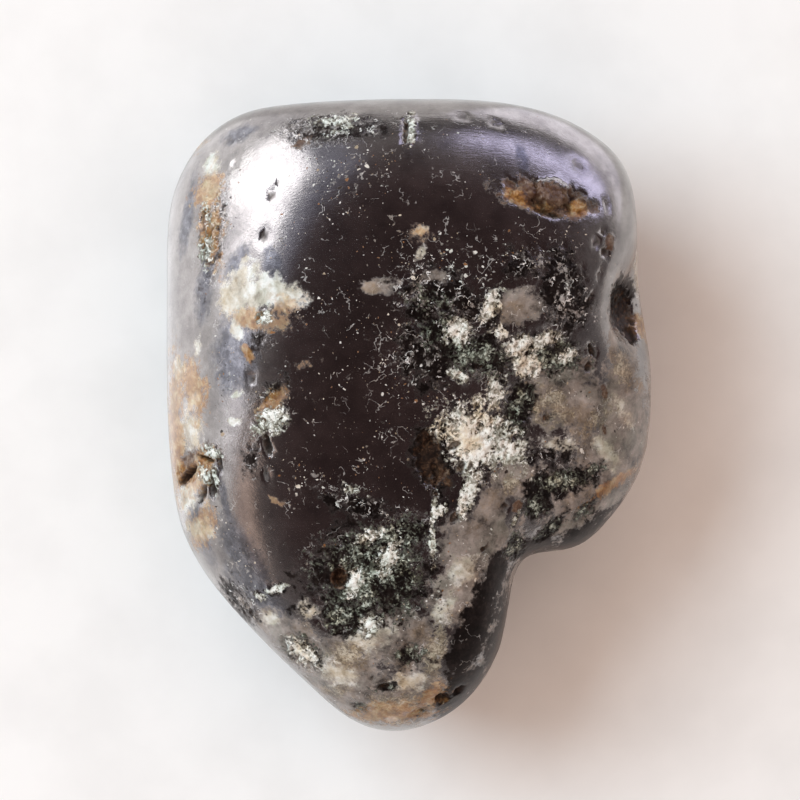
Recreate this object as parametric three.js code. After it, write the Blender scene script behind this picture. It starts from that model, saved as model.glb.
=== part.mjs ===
// A tumbled magnetite stone: one pebble of iron ore with a quartz and chlorite matrix grown through it.
// Millimetres, +Z up. The origin is under the middle of the stone's box, on the surface that it rests on;
// +Y runs along its length towards the square end, +X towards the lobe.
import * as THREE from "three";
import { mergeVertices } from "three/addons/utils/BufferGeometryUtils.js";

// Driving dimensions.
const LENGTH = 26;
const WIDTH = 20;
const HEIGHT = 15;

// The stone seen from above, in fractions of half its width and half its length, clockwise.
const HALF_PLAN = new THREE.Vector2(WIDTH / 2, LENGTH / 2);
const SQUARE_END = [[-0.445, 0.987], [-0.035, 1], [0.375, 0.99], [0.62, 0.946], [0.805, 0.864]];
const RIGHT_SIDE = [[0.89, 0.794], [0.93, 0.684], [0.94, 0.463], [0.95, 0.4]];
const LOBE_SIDE = [[0.985, 0.241], [1, 0.052], [0.984, -0.106]];
const LOBE_END = [[0.93, -0.223], [0.828, -0.327], [0.713, -0.412]];
const STEP = [[0.622, -0.432], [0.5, -0.43], [0.458, -0.457], [0.43, -0.517], [0.421, -0.573]];
const TOE_SIDE = [[0.396, -0.69], [0.355, -0.785], [0.273, -0.877]];
const TOE_END = [[0.179, -0.943], [0.018, -1], [-0.121, -1]];
const HEEL = [[-0.244, -0.959], [-0.384, -0.864], [-0.573, -0.725], [-0.799, -0.538], [-0.856, -0.478]];
const LEFT_SIDE = [[-0.939, -0.358], [-0.98, -0.169], [-0.996, 0.052], [-1, 0.368], [-1, 0.68]];
const CORNER = [[-0.96, 0.763], [-0.897, 0.842], [-0.795, 0.915], [-0.667, 0.965]];
const PLAN = [
  ...[...SQUARE_END, ...RIGHT_SIDE, ...LOBE_SIDE, ...LOBE_END, ...STEP],
  ...[...TOE_SIDE, ...TOE_END, ...HEEL, ...LEFT_SIDE, ...CORNER],
];
const PLAN_STEPS = 260;

// The waist is where the stone is widest. It is higher at the square end, and the wall draws in from it.
const WAIST_HEIGHT = 0.58 * HEIGHT;
const WAIST_RISE = 0.05;
const WALL_DRAW = 1.3;
const WALL_REACH = HEIGHT / 2;

// A worn shoulder runs round the whole plan, from this height at the outline up towards the crown.
const SHOULDER = { height: 0.9 * HEIGHT, slope: 42, round: 1.7 };

// Worn faces of the upper side: a point on each face, the way it falls, its slope, and how round it meets
// the rest. The heights are fractions of the stone's height.
const OUTER_FACES = [
  { name: "left flank", at: [-6.9, 1.5, 0.87], falls: 182, slope: 45, round: 2.2 },
  { name: "end bevel", at: [0.3, 9.8, 0.965], falls: 88, slope: 26, round: 2.0 },
  { name: "left corner", at: [-6.4, 9.7, 0.87], falls: 140, slope: 41, round: 2.0 },
  { name: "right edge", at: [8.5, 6.5, 0.91], falls: 2, slope: 46, round: 1.6 },
  { name: "right corner", at: [7.9, 10.0, 0.83], falls: 48, slope: 37, round: 1.5 },
  { name: "toe slope", at: [-0.8, -10.6, 0.81], falls: -88, slope: 33, round: 2.2 },
  { name: "heel slope", at: [-6.6, -6.8, 0.83], falls: 220, slope: 39, round: 2.0 },
];

// The top is three blocks grown together: a crown of hard ore, and a softer lobe and toe that are lower.
const BLOCKS = {
  crown: [
    { name: "crown", at: [-0.4, 3.2, 1.01], falls: -80, slope: 2, round: 0 },
    { name: "crown break", at: [8.3, 5.1, 0.87], falls: -44, slope: 44, round: 1.4 },
  ],
  lobe: [
    { name: "lobe top", at: [4.0, 0.0, 0.92], falls: -50, slope: 8, round: 0 },
    { name: "matrix slope", at: [5.0, -1.2, 0.88], falls: -50, slope: 14, round: 1.6 },
    { name: "lobe slope", at: [8.2, -0.9, 0.78], falls: -16, slope: 42, round: 2.4 },
  ],
  toe: [
    { name: "toe top", at: [0.6, -5.0, 0.91], falls: -75, slope: 7, round: 0 },
    { name: "toe side", at: [3.6, -9.2, 0.82], falls: -12, slope: 46, round: 1.2 },
  ],
};
const CREASE_ROUND = 1.4;
const TOP_ROUND = 1.4;

// Every worn face bulges a little from its middle, by this radius.
const FACE_BULGE = 42;

// Worn faces of the underside, given the same way, with the slope rising outwards from the rest.
const UNDER_FACES = [
  { name: "under left", at: [-6.0, 2.0, 0.04], falls: 170, slope: 31, round: 2.4 },
  { name: "under right", at: [5.6, 4.6, 0.04], falls: 24, slope: 28, round: 2.6 },
  { name: "under end", at: [-0.6, 8.8, 0.05], falls: 96, slope: 33, round: 2.6 },
  { name: "under toe", at: [-1.2, -7.6, 0.03], falls: -96, slope: 18, round: 2.0 },
  { name: "under lobe", at: [5.2, -2.4, 0.04], falls: -32, slope: 27, round: 2.0 },
];

// The underside would sag this far below the surface that it rests on, but a worn flat cuts it off there.
const UNDER_SAG = 0.8;

// Deep hollows that the tumbler did not reach, as ellipsoids: middle, half-sizes and turn about +Z.
const HOLLOWS = [
  { name: "lobe groove", at: [9.4, 4.3, 11.2], half: [1.4, 1.5, 2.6], turn: 22 },
  { name: "flank crevice", at: [-9.5, -2.3, 9.9], half: [0.8, 1.4, 0.8], turn: -30 },
];
const HOLLOW_ROUND = 0.35;

const UP = new THREE.Vector3(0, 0, 1);
const MIDDLE = new THREE.Vector3(-0.6, 0.4, 0.45 * HEIGHT);
const MESH_DETAIL = 20;
const BISECTIONS = 34;

// The greater of two distances, with the edge between them rounded.
function roundMax(a, b, round) {
  const near = round > 0 ? Math.max(round - Math.abs(a - b), 0) / round : 0;
  return Math.max(a, b) + (near * near * round) / 4;
}

// The lesser of two distances, with the crease between them filled.
function roundMin(a, b, round) {
  return -roundMax(-a, -b, round);
}

function planOutline() {
  const points = PLAN.map(([x, y]) => new THREE.Vector3(x * HALF_PLAN.x, y * HALF_PLAN.y, 0));
  return new THREE.CatmullRomCurve3(points, true, "centripetal").getSpacedPoints(PLAN_STEPS);
}

// Distance from a point to the closed outline in plan: below nought inside it.
function planDistance(outline, x, y) {
  let nearest = Infinity;
  let inside = false;
  for (let i = 1; i < outline.length; i += 1) {
    const a = outline[i - 1];
    const b = outline[i];
    const ex = b.x - a.x;
    const ey = b.y - a.y;
    const along = THREE.MathUtils.clamp(((x - a.x) * ex + (y - a.y) * ey) / (ex * ex + ey * ey), 0, 1);
    nearest = Math.min(nearest, Math.hypot(x - a.x - along * ex, y - a.y - along * ey));
    const crosses = a.y > y !== b.y > y;
    if (crosses && x < a.x + ((y - a.y) * ex) / ey) inside = !inside;
  }
  return inside ? -nearest : nearest;
}

// Height above a tilted face, measured square to it; side is 1 for the upper side and -1 for the underside.
function faceDistance(face, p, side) {
  const slope = THREE.MathUtils.degToRad(face.slope);
  const normal = new THREE.Vector3(Math.sin(slope), 0, side * Math.cos(slope));
  normal.applyAxisAngle(UP, THREE.MathUtils.degToRad(face.falls));
  const fromFace = p.clone().sub(new THREE.Vector3(face.at[0], face.at[1], face.at[2] * HEIGHT));
  const height = fromFace.dot(normal);
  return height + (fromFace.lengthSq() - height * height) / (2 * FACE_BULGE);
}

function hollowDistance(hollow, p) {
  const local = p.clone().sub(new THREE.Vector3(...hollow.at));
  local.applyAxisAngle(UP, -THREE.MathUtils.degToRad(hollow.turn));
  local.divide(new THREE.Vector3(...hollow.half));
  return (local.length() - 1) * Math.min(...hollow.half);
}

function blockDistance(faces, p) {
  return faces.reduce((most, face) => roundMax(most, faceDistance(face, p, 1), face.round), -LENGTH);
}

function topDistance(p) {
  const tops = Object.values(BLOCKS).map((faces) => blockDistance(faces, p));
  return tops.reduce((least, top) => roundMin(least, top, CREASE_ROUND));
}

// The stone's surface is where this distance is nought.
function stoneDistance(outline, p) {
  const fromWaist = (p.z - WAIST_HEIGHT - WAIST_RISE * p.y) / WALL_REACH;
  const fromPlan = planDistance(outline, p.x, p.y);
  const slope = THREE.MathUtils.degToRad(SHOULDER.slope);
  const shoulder = fromPlan * Math.sin(slope) + (p.z - SHOULDER.height) * Math.cos(slope);
  let distance = roundMax(fromPlan + WALL_DRAW * fromWaist * fromWaist, shoulder, SHOULDER.round);
  for (const face of OUTER_FACES) distance = roundMax(distance, faceDistance(face, p, 1), face.round);
  distance = roundMax(distance, topDistance(p), TOP_ROUND);
  for (const face of UNDER_FACES) distance = roundMax(distance, faceDistance(face, p, -1), face.round);
  distance = roundMax(distance, -p.z - UNDER_SAG, UNDER_SAG);
  for (const hollow of HOLLOWS) distance = roundMax(distance, -hollowDistance(hollow, p), HOLLOW_ROUND);
  return Math.max(distance, -p.z);
}

// Walks out from the middle of the stone to its surface.
function surfacePoint(outline, heading) {
  let inner = 0;
  let outer = LENGTH;
  for (let i = 0; i < BISECTIONS; i += 1) {
    const reach = (inner + outer) / 2;
    const p = MIDDLE.clone().addScaledVector(heading, reach);
    if (stoneDistance(outline, p) < 0) inner = reach;
    else outer = reach;
  }
  return MIDDLE.clone().addScaledVector(heading, inner);
}

function stoneGeometry() {
  const ball = new THREE.IcosahedronGeometry(1, MESH_DETAIL);
  ball.deleteAttribute("normal");
  ball.deleteAttribute("uv");
  const geometry = mergeVertices(ball);
  const outline = planOutline();
  const places = geometry.getAttribute("position");
  const heading = new THREE.Vector3();
  for (let i = 0; i < places.count; i += 1) {
    heading.fromBufferAttribute(places, i).multiply(new THREE.Vector3(WIDTH, LENGTH, HEIGHT)).normalize();
    places.setXYZ(i, ...surfacePoint(outline, heading));
  }
  geometry.computeBoundingBox();
  const middle = geometry.boundingBox.getCenter(new THREE.Vector3());
  const size = geometry.boundingBox.getSize(new THREE.Vector3());
  geometry.translate(-middle.x, -middle.y, -geometry.boundingBox.min.z);
  geometry.scale(WIDTH / size.x, LENGTH / size.y, HEIGHT / size.z);
  geometry.computeVertexNormals();
  return geometry;
}

const polishedMagnetite = new THREE.MeshStandardMaterial({
  color: 0x2a2523,
  roughness: 0.22,
  metalness: 0.25,
});

const stone = new THREE.Mesh(stoneGeometry(), polishedMagnetite);
stone.name = "magnetite_stone";

const part = new THREE.Group();
part.add(stone);
export default part;
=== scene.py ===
"""A tumbled magnetite stone: polished iron ore with quartz, chlorite, crystals and rust grown into it."""

import logging
import math
import random
from dataclasses import dataclass, field
from enum import Enum
from typing import Any, Sequence

import bmesh
import bpy
import numpy as np
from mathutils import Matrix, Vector, noise
from mathutils.bvhtree import BVHTree


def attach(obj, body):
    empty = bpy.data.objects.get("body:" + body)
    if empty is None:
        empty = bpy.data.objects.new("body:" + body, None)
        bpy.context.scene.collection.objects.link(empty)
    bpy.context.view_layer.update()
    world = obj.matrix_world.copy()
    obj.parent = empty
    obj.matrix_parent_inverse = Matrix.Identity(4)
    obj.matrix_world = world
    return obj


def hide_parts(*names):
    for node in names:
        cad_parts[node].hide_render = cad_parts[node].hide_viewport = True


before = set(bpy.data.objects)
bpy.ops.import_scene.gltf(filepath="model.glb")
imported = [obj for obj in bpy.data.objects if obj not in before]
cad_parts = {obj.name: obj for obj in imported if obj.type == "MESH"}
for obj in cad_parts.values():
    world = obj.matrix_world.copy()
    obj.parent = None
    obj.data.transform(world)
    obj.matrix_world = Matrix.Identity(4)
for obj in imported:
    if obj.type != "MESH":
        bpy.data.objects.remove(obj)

log = logging.getLogger("magnetite_stone")

MM = 0.001
NODE = "magnetite_stone"
BODY = "root"


# ---------------------------------------------------------------- minerals and where they lie


class Mineral(Enum):
    """What grew in the ore. The value names the mesh attribute that says how much of it a point has."""

    QUARTZ = "quartz"
    ORE = "ore"
    CHLORITE = "chlorite"
    CRYSTAL = "crystal"
    DRUSE = "druse"
    CREAM = "cream"
    FELDSPAR = "feldspar"
    RUST = "rust"
    STAIN = "stain"
    STEEL = "steel"
    SPECKS = "specks"
    LUMP = "lump"
    HOLLOW = "hollow"

    @property
    def order(self) -> int:
        """Gives the mineral's place in this list, by which minerals take turns with the noise."""
        return list(Mineral).index(self)


@dataclass(frozen=True)
class Patch:
    """One patch of a mineral, as an ellipse seen from above the stone.

    x and y are its middle, long and wide its half-sizes, all in millimetres, and turn is in degrees. The
    amount is how much of the mineral it holds. For a hollow it is the depth, and for a lump the height, in
    millimetres.
    """

    x: float
    y: float
    long: float
    wide: float
    turn: float = 0.0
    amount: float = 1.0


PATCHES: dict[Mineral, tuple[Patch, ...]] = {
    Mineral.CREAM: (
        # The milky patch on the left flank, and its tail.
        Patch(-6.9, 4.95, 0.9, 0.8, 20),
        Patch(-6.7, 5.9, 0.7, 0.45, 60, 0.8),
        Patch(-5.6, 5.2, 1.2, 0.6, -12),
        Patch(-4.75, 5.0, 0.45, 0.3, 30),
        Patch(-7.1, 3.6, 0.5, 0.24, 105),
        # Spots down the left edge.
        Patch(-8.1, 10.4, 0.5, 0.36, 70),
        Patch(-8.2, 9.45, 0.42, 0.28, -20, 0.9),
        Patch(-8.7, 3.0, 0.5, 0.2, 80, 0.8),
        Patch(-8.9, 0.6, 0.5, 0.3, 70, 0.8),
        Patch(-9.5, 1.95, 0.4, 0.25, 90),
        Patch(-9.1, -0.6, 0.78, 0.55, 100),
        Patch(-9.15, -3.35, 0.62, 0.42, 80),
        Patch(-8.55, -4.7, 0.6, 0.44, -10),
        Patch(-7.1, 0.9, 0.3, 0.16, 30, 0.9),
        Patch(-7.2, -0.2, 0.3, 0.2, 10, 0.9),
        # Grains on the crown.
        Patch(0.5, 7.7, 0.34, 0.17, 20),
        Patch(0.5, 6.75, 0.3, 0.16, 60),
        Patch(-5.7, 1.1, 0.36, 0.1, 45, 0.9),
        # The toe.
        Patch(-5.75, -8.4, 0.42, 0.3, -35),
        Patch(-4.1, -8.0, 0.5, 0.34, -20, 0.8),
        Patch(-1.7, -9.2, 1.0, 0.6, 20, 0.72),
        Patch(-2.9, -10.6, 0.9, 0.5, -30, 0.76),
        Patch(0.1, -10.9, 0.9, 0.4, 10, 0.7),
        Patch(2.2, -6.2, 0.8, 0.5, 60, 0.68),
        Patch(1.5, -7.9, 0.7, 0.4, 60, 0.72),
        Patch(-0.7, -12.5, 0.26, 0.13, 0),
        # The bright end of the white mass, and its tail.
        Patch(3.95, -1.55, 0.75, 0.4, -14, 1.05),
        Patch(2.6, -3.05, 0.85, 0.26, 68, 0.95),
        # The lobe.
        Patch(8.8, 0.3, 0.8, 0.34, -62, 0.75),
        Patch(8.2, -1.6, 0.9, 0.4, -50, 0.62),
        Patch(6.2, -1.2, 0.9, 0.4, -10, 0.66),
    ),
    Mineral.FELDSPAR: (
        Patch(1.2, -9.6, 1.4, 0.5, 80, 1.0),
        Patch(-2.5, -9.8, 0.85, 0.5, 10, 0.9),
        Patch(-2.9, -11.3, 0.55, 0.3, 5, 0.9),
        Patch(-0.6, -11.9, 1.2, 0.4, 0, 0.85),
        Patch(5.9, 0.4, 1.2, 0.8, -30, 0.7),
        Patch(7.6, -0.3, 0.9, 0.5, 40, 0.6),
        Patch(4.25, -2.9, 0.55, 0.4, 20, 0.85),
        Patch(8.85, 2.0, 0.75, 0.36, -68, 0.85),
    ),
    Mineral.QUARTZ: (
        # The matrix on the lobe.
        Patch(4.55, 4.5, 1.0, 0.66, 16),
        Patch(6.7, 0.7, 1.9, 1.5, -20),
        Patch(8.8, -1.0, 3.1, 1.5, 86),
        Patch(7.5, -3.3, 2.0, 1.5, 20),
        Patch(8.9, 2.7, 1.5, 0.6, 100),
        Patch(4.7, -2.7, 1.2, 0.8, 10),
        Patch(3.4, -3.8, 1.1, 0.7, 60),
        # The band that runs down to the toe.
        Patch(2.9, -5.4, 1.7, 1.5, 40),
        Patch(1.9, -7.4, 1.7, 1.1, 62),
        Patch(-0.35, -9.3, 2.1, 1.3),
        Patch(-2.5, -10.7, 2.0, 1.3, -38),
        Patch(0.0, -11.6, 1.8, 1.1, 5),
        Patch(-4.7, -9.3, 1.9, 0.8, -44),
        Patch(1.1, 5.65, 0.5, 0.32, 10, 0.9),
        Patch(-1.2, 5.4, 0.75, 0.32, 5, 0.9),
        Patch(3.75, -9.0, 3.2, 0.55, 77, 0.95),
        Patch(2.45, -11.1, 1.2, 0.45, 52, 0.9),
        Patch(6.9, -4.4, 1.9, 0.7, 36, 0.85),
        Patch(8.3, -3.6, 1.2, 0.5, 50, 0.9),
    ),
    Mineral.CHLORITE: (
        Patch(-1.6, -6.5, 2.6, 2.0, 10),
        Patch(-2.8, -8.3, 1.0, 0.8),
        Patch(-0.4, -5.0, 1.5, 0.8, 20),
        Patch(2.9, 2.5, 1.5, 0.85, -15),
        Patch(5.6, 2.5, 1.7, 0.85, -8),
        Patch(4.6, 0.5, 1.05, 0.65, 78),
        Patch(3.7, -0.5, 1.2, 0.5, -8),
        Patch(6.2, -2.7, 1.35, 0.48, 8),
        Patch(5.3, -3.7, 0.6, 0.55),
        Patch(4.4, -5.4, 0.75, 0.42, 70),
        Patch(1.3, 3.5, 1.15, 0.9, 0, 0.8),
        Patch(0.9, 4.8, 1.2, 0.6, -10, 0.76),
        Patch(-4.4, -9.7, 0.95, 0.6, -36, 0.85),
        Patch(5.9, -4.6, 0.9, 0.3, 40, 0.9),
        Patch(7.6, -2.2, 0.7, 0.3, 20, 0.8),
        Patch(7.3, -3.9, 0.8, 0.3, 40, 0.75),
        Patch(8.6, 4.9, 0.6, 0.4, 100, 0.8),
        Patch(-0.95, -11.2, 0.6, 0.2, 8, 0.9),
        Patch(0.5, -12.2, 0.5, 0.2, 20, 0.8),
        Patch(-2.0, -12.0, 0.4, 0.2, -20, 0.75),
        Patch(1.4, -11.6, 0.42, 0.28, 20, 0.9),
        Patch(0.15, -9.9, 0.7, 0.5, 0, 0.75),
    ),
    Mineral.CRYSTAL: (
        # The white mass round the matrix hollow.
        Patch(2.8, -0.95, 1.9, 1.25, -28, 1.05),
        Patch(4.0, -1.45, 0.8, 0.55, 15, 1.1),
        Patch(2.55, -3.1, 1.0, 0.34, 70, 1.15),
        Patch(-5.5, -7.15, 0.45, 0.2, 15, 1.0),
        Patch(-6.2, -7.4, 0.4, 0.16, -20, 0.8),
        Patch(1.3, -3.9, 0.45, 0.25, 40),
        Patch(3.65, 1.1, 0.72, 0.5, 84),
        Patch(3.35, 4.6, 0.98, 0.34, 62, 1.1),
        Patch(2.1, 3.55, 0.62, 0.5, 20, 1.1),
        Patch(4.6, 2.9, 0.7, 0.42, 20, 1.1),
        Patch(5.7, 3.2, 0.75, 0.32, 10, 1.1),
        Patch(4.85, 2.1, 0.5, 0.42, 60, 1.1),
        Patch(2.1, 1.7, 0.5, 0.34, -20),
        Patch(5.2, 1.9, 0.8, 0.3, 15, 0.85),
        Patch(6.6, 2.5, 0.6, 0.26, 20, 0.9),
        Patch(3.9, 3.4, 0.5, 0.3, -30, 0.85),
        Patch(2.9, 0.6, 0.4, 0.3, 30, 0.85),
        Patch(4.4, -4.3, 0.36, 0.1, 64),
        # The left side.
        Patch(-5.7, -0.25, 0.85, 0.5, 38),
        Patch(-8.3, 8.4, 0.9, 0.26, 98, 0.7),
        Patch(-8.35, 6.9, 0.9, 0.32, 84, 0.85),
        Patch(-8.1, -1.5, 0.55, 0.24, -30, 0.85),
        Patch(-8.0, -2.6, 0.6, 0.2, 100, 0.8),
        Patch(-5.95, 4.1, 0.36, 0.24, 0),
        Patch(-8.4, -2.4, 0.6, 0.3, -50, 0.8),
        # The square end.
        Patch(0.05, 11.75, 0.82, 0.26, 87),
        Patch(-3.2, 12.2, 1.5, 0.3, 3, 0.66),
        Patch(-2.6, 11.9, 0.8, 0.2, 20, 0.7),
        # The chlorite by the toe.
        Patch(-2.4, -3.0, 0.58, 0.3, -25, 0.8),
        Patch(1.05, -3.9, 0.8, 0.13, 84, 0.9),
        Patch(1.0, -5.3, 0.8, 0.14, 93, 0.9),
        Patch(-2.25, -6.9, 0.68, 0.3, 76),
        Patch(-1.6, -8.6, 0.5, 0.4, 60),
        Patch(-0.75, -5.7, 0.95, 0.4, 70, 0.85),
        Patch(-1.4, -4.9, 0.75, 0.3, 20, 0.8),
        Patch(-4.4, -9.8, 0.85, 0.42, -36, 1.1),
    ),
    Mineral.DRUSE: (
        Patch(6.4, 5.1, 1.8, 1.0, 97),
        Patch(1.4, 4.9, 2.1, 1.3, -20, 0.8),
        Patch(5.0, 6.3, 1.3, 0.8, 0, 0.7),
        Patch(0.9, 2.6, 1.8, 1.5, 0, 0.75),
        Patch(-5.6, 0.9, 1.1, 0.5, 45, 0.58),
        Patch(-8.0, 7.6, 1.9, 0.42, 82, 0.85),
        Patch(-6.2, 3.1, 0.7, 0.4, 60, 0.55),
        Patch(-6.4, -1.6, 0.9, 0.4, 80, 0.5),
        Patch(-3.0, 11.9, 2.0, 0.55, 2, 0.85),
        Patch(-1.9, -3.6, 2.1, 0.5, -12, 0.75),
        Patch(-7.0, -7.6, 1.2, 0.5, -45, 0.75),
        Patch(5.7, -1.6, 1.4, 0.5, 0, 0.7),
    ),
    Mineral.RUST: (
        Patch(5.6, 9.0, 1.9, 0.62, -12),
        Patch(0.7, -1.1, 0.7, 0.35, 80, 0.68),
        Patch(1.3, -2.3, 0.6, 0.35, 120, 0.68),
        Patch(-8.8, -2.0, 1.1, 0.5, 38, 1.1),
        Patch(-8.3, 7.6, 1.3, 0.25, 96, 0.75),
        Patch(-4.45, 11.25, 0.45, 0.22, 30, 0.66),
        Patch(-2.9, -6.75, 0.42, 0.3, 80),
        Patch(8.15, 0.95, 0.3, 0.15, 100),
        Patch(8.1, -0.5, 0.22, 0.1, 100),
        Patch(4.5, -3.7, 0.26, 0.16, 60, 0.9),
        Patch(8.3, 7.2, 0.3, 0.2, 90, 0.8),
    ),
    Mineral.STAIN: (
        Patch(-6.2, 4.0, 1.2, 0.35, -8, 1.2),
        Patch(-5.2, 4.6, 0.7, 0.4, 20, 0.8),
        Patch(-8.9, 1.15, 1.1, 0.48, 100),
        Patch(-9.6, -0.6, 2.6, 0.4, 90),
        Patch(-8.6, -4.6, 0.9, 0.5, 80, 0.9),
        Patch(-8.3, 9.3, 0.8, 0.45, 60, 0.9),
        Patch(-0.55, -12.3, 1.5, 0.4, 4, 0.85),
        Patch(1.0, -11.6, 0.7, 0.4, 35, 0.9),
        Patch(8.5, -2.75, 1.1, 0.2, 34, 0.95),
        Patch(-6.65, 2.6, 0.42, 0.18, -60, 1.2),
        Patch(-5.5, -3.5, 0.45, 0.13, -18, 1.2),
        Patch(-5.6, 0.6, 0.8, 0.3, 45, 0.9),
        Patch(-4.2, 2.2, 0.42, 0.14, 10, 0.9),
        Patch(0.5, 7.6, 0.4, 0.3, 0, 0.9),
        Patch(-8.7, -2.4, 1.0, 0.5, 60, 1.1),
        Patch(-8.25, 7.6, 1.4, 0.4, 96, 0.7),
        Patch(4.5, 9.0, 0.5, 0.22, -40, 1.4),
        Patch(5.5, 8.65, 0.6, 0.2, -10, 1.4),
        Patch(6.95, 8.6, 0.4, 0.3, 0, 1.4),
    ),
    Mineral.STEEL: (
        # Beside the milky patch, and down the left flank.
        Patch(-7.1, 6.25, 0.7, 0.36, 58, 1.1),
        Patch(-5.6, 6.35, 0.7, 0.36, 100, 1.2),
        Patch(-7.2, 2.4, 1.6, 0.8, 82, 1.1),
        Patch(-8.3, 6.2, 2.2, 0.3, 84),
        Patch(-6.8, -5.8, 1.7, 0.6, 118, 1.1),
        Patch(-7.6, -3.4, 1.5, 0.14, 104),
        Patch(-6.3, -7.2, 1.7, 0.7, 130),
        Patch(-8.6, -4.6, 1.5, 0.3, 110),
        Patch(-6.9, 11.7, 0.8, 0.3, 22),
        Patch(4.7, 10.7, 0.5, 0.24, 100),
        Patch(-9.1, 8.4, 1.6, 0.24, 80, 0.9),
        # Beside the lobe and the toe.
        Patch(1.9, -11.9, 1.2, 0.5, 35, 1.1),
    ),
    Mineral.ORE: (
        # The dark polished band beside the toe.
        Patch(2.75, -8.7, 2.4, 0.6, 70, 1.2),
        Patch(3.6, -6.6, 1.4, 0.4, 74, 1.0),
        Patch(2.2, -11.4, 1.4, 0.62, 48, 1.1),
        Patch(3.8, -9.0, 3.2, 0.6, 77, 0.78),
        # Black patches in the matrix.
        Patch(2.8, 2.5, 1.25, 0.62, -8, 1.1),
        Patch(4.6, 0.6, 1.0, 0.5, 72, 1.1),
        Patch(7.2, -4.9, 2.1, 0.6, 36, 0.72),
        Patch(0.9, -1.7, 1.45, 0.8, 100, 1.1),
        Patch(6.3, -2.7, 1.5, 0.6, 8, 0.9),
        Patch(5.2, -5.4, 0.9, 0.4, 10),
        Patch(8.8, 5.1, 0.5, 1.1, 10, 0.8),
        Patch(0.6, 4.4, 0.9, 0.6, 0),
    ),
    Mineral.SPECKS: (
        Patch(-3.2, -2.6, 2.8, 1.9),
        Patch(-2.6, 10.0, 2.4, 1.9, 0, 1.25),
        Patch(2.8, 6.6, 4.0, 1.4),
        Patch(0.6, 2.8, 2.4, 3.0),
        Patch(-5.2, 0.8, 1.8, 1.6),
        Patch(-3.0, -5.5, 2.6, 1.5),
        Patch(5.5, 7.4, 2.2, 1.1),
        Patch(-0.4, 3.2, 7.0, 8.0, 0, 0.68),
        Patch(-7.9, 7.6, 3.2, 1.1, 84, 0.9),
        Patch(-7.5, 1.2, 3.0, 1.0, 88, 0.85),
        Patch(-6.9, -5.4, 2.8, 1.3, 118, 0.9),
        Patch(0.5, -8.6, 4.6, 3.4, 30, 0.75),
        Patch(6.6, -1.0, 3.2, 2.6, 0, 0.75),
        Patch(-0.4, 11.9, 6.0, 0.8, 0, 0.7),
        Patch(4.0, 2.4, 2.8, 2.4, 0, 1.3),
        Patch(4.4, -1.6, 3.0, 1.7, -20, 1.2),
        Patch(1.6, -7.4, 2.8, 1.8, 50, 1.1),
    ),
    Mineral.LUMP: (
        # Rounded lumps that fill the rust pit.
        Patch(4.85, 9.3, 0.55, 0.48, 10, 0.28),
        Patch(5.95, 9.2, 0.8, 0.56, -20, 0.33),
        Patch(7.05, 8.8, 0.4, 0.3, 20, 0.2),
    ),
    Mineral.HOLLOW: (
        # The hollow beside the white mass, with deeper holes in it.
        Patch(0.85, -1.75, 1.35, 0.6, 100, 0.34),
        Patch(0.8, -1.1, 0.4, 0.2, 60, 0.45),
        Patch(1.1, -2.2, 0.45, 0.22, 110, 0.42),
        Patch(1.9, -1.2, 0.3, 0.16, 30, 0.2),
        Patch(2.2, -2.1, 0.26, 0.14, 70, 0.2),
        # The rust pit and the gaps between its lumps.
        Patch(5.75, 9.1, 1.8, 0.62, -12, 0.2),
        Patch(5.2, 9.05, 0.4, 0.1, 66, 0.2),
        Patch(6.65, 8.85, 0.35, 0.12, 100, 0.3),
        Patch(5.75, 8.45, 0.6, 0.12, -16, 0.25),
        # The groove above the lobe.
        Patch(8.75, 4.4, 1.25, 0.55, 108, 0.2),
        Patch(9.2, 3.4, 0.5, 0.25, 100, 0.3),
        Patch(7.6, 2.75, 0.34, 0.14, -62, 0.3),
        Patch(7.5, 2.05, 0.26, 0.16, 60, 0.25),
        # The left flank.
        Patch(-5.85, -1.2, 0.52, 0.2, 106, 0.55),
        Patch(-9.1, -2.4, 0.6, 0.14, 46, 0.4),
        Patch(-8.4, -1.75, 0.4, 0.1, -20, 0.35),
        Patch(-7.8, -1.9, 0.35, 0.09, 100, 0.25),
        Patch(-8.5, -3.2, 0.45, 0.08, 70, 0.25),
        Patch(-8.5, 8.2, 0.4, 0.06, 80, 0.1),
        Patch(-8.2, 7.6, 0.4, 0.05, 60, 0.1),
        Patch(-8.4, 6.9, 0.4, 0.06, 100, 0.12),
        Patch(-8.1, -2.9, 0.4, 0.12, 95, 0.3),
        Patch(-6.5, 1.55, 0.16, 0.13, 0, 0.2),
        Patch(-5.9, -2.3, 0.3, 0.07, 100, 0.2),
        # Round holes by the toe and on the lobe.
        Patch(-2.9, -6.75, 0.44, 0.3, 80, 0.5),
        Patch(5.75, -0.1, 0.2, 0.17, 0, 0.16),
        Patch(4.0, -3.7, 0.17, 0.14, 0, 0.16),
        Patch(3.15, -5.5, 0.13, 0.12, 0, 0.2),
        Patch(-1.55, -10.85, 0.15, 0.11, 60, 0.14),
        Patch(1.4, -11.7, 0.3, 0.2, 0, 0.3),
        Patch(2.1, -11.3, 0.32, 0.11, 42, 0.2),
        Patch(-1.0, -11.2, 0.26, 0.11, 10, 0.16),
        Patch(1.9, -4.2, 0.22, 0.16, 30, 0.25),
        # Pits on the edges of the crown.
        Patch(-0.1, 11.75, 0.7, 0.12, 88, 0.2),
        Patch(8.1, 7.6, 0.18, 0.09, 0, 0.12),
        Patch(7.8, 7.2, 0.18, 0.13, 20, 0.16),
        Patch(8.15, 6.8, 0.2, 0.16, 30, 0.18),
        Patch(-5.35, 10.5, 0.17, 0.06, 10, 0.1),
        Patch(-5.4, 9.8, 0.3, 0.07, 50, 0.12),
        Patch(-5.8, 9.15, 0.22, 0.1, 40, 0.12),
        Patch(-6.0, 7.5, 0.35, 0.08, 110, 0.12),
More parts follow.
